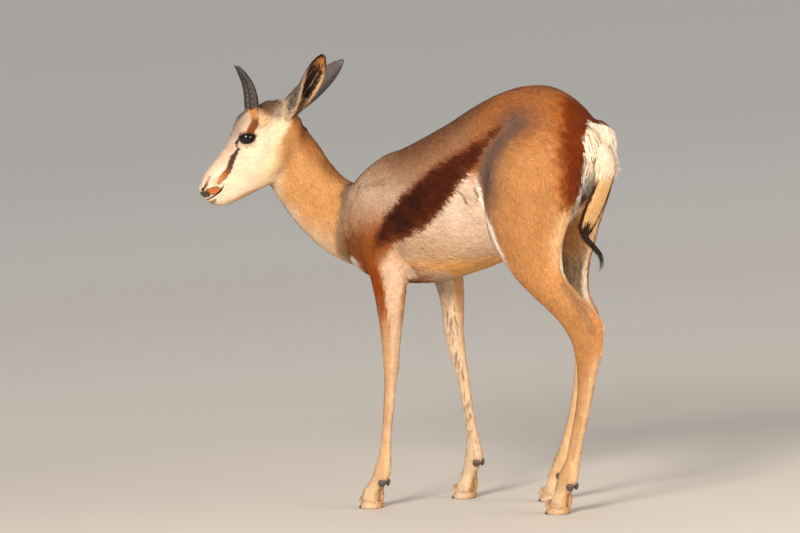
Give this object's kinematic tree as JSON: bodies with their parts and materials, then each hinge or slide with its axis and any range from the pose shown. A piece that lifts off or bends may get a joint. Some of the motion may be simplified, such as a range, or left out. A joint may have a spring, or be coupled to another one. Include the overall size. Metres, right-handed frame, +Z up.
{
  "type": "standing young springbok, still model",
  "caption": "Life-size still model of a young springbok, standing on level ground with its head turned to its left.",
  "frame": {"origin": "on the floor, under the middle of the bounding box", "axes": "+Z up; the animal's body faces -Y, its left side is +X and its tail end is +Y"},
  "size_m": [0.3082, 0.8376, 0.8283],
  "materials": {
    "coat": "short flat hair, fawn above, white below, dark band along the flank",
    "tail_hair": "short pale hair with a black tuft",
    "ear_skin": "short hair, grey behind, dark inside",
    "eye": "wet and glossy",
    "horn": "horn, ringed, satin",
    "claw": "horn, satin"
  },
  "bodies": {
    "root": {"head": "coat", "neck": "coat", "torso": "coat", "foreleg_left": "coat", "foreleg_right": "coat", "hindleg_left": "coat", "hindleg_right": "coat", "tail": "tail_hair", "ear_left": "ear_skin", "ear_right": "ear_skin", "eye_left": "eye", "eye_right": "eye", "horn_left": "horn", "horn_right": "horn", "claw_fl_a": "claw", "claw_fl_b": "claw", "claw_fr_a": "claw", "claw_fr_b": "claw", "claw_hl_a": "claw", "claw_hl_b": "claw", "claw_hr_a": "claw", "claw_hr_b": "claw", "dewclaw_fl_a": "claw", "dewclaw_fl_b": "claw", "dewclaw_fr_a": "claw", "dewclaw_fr_b": "claw", "dewclaw_hl_a": "claw", "dewclaw_hl_b": "claw", "dewclaw_hr_a": "claw", "dewclaw_hr_b": "claw"}
  },
  "joints": []
}
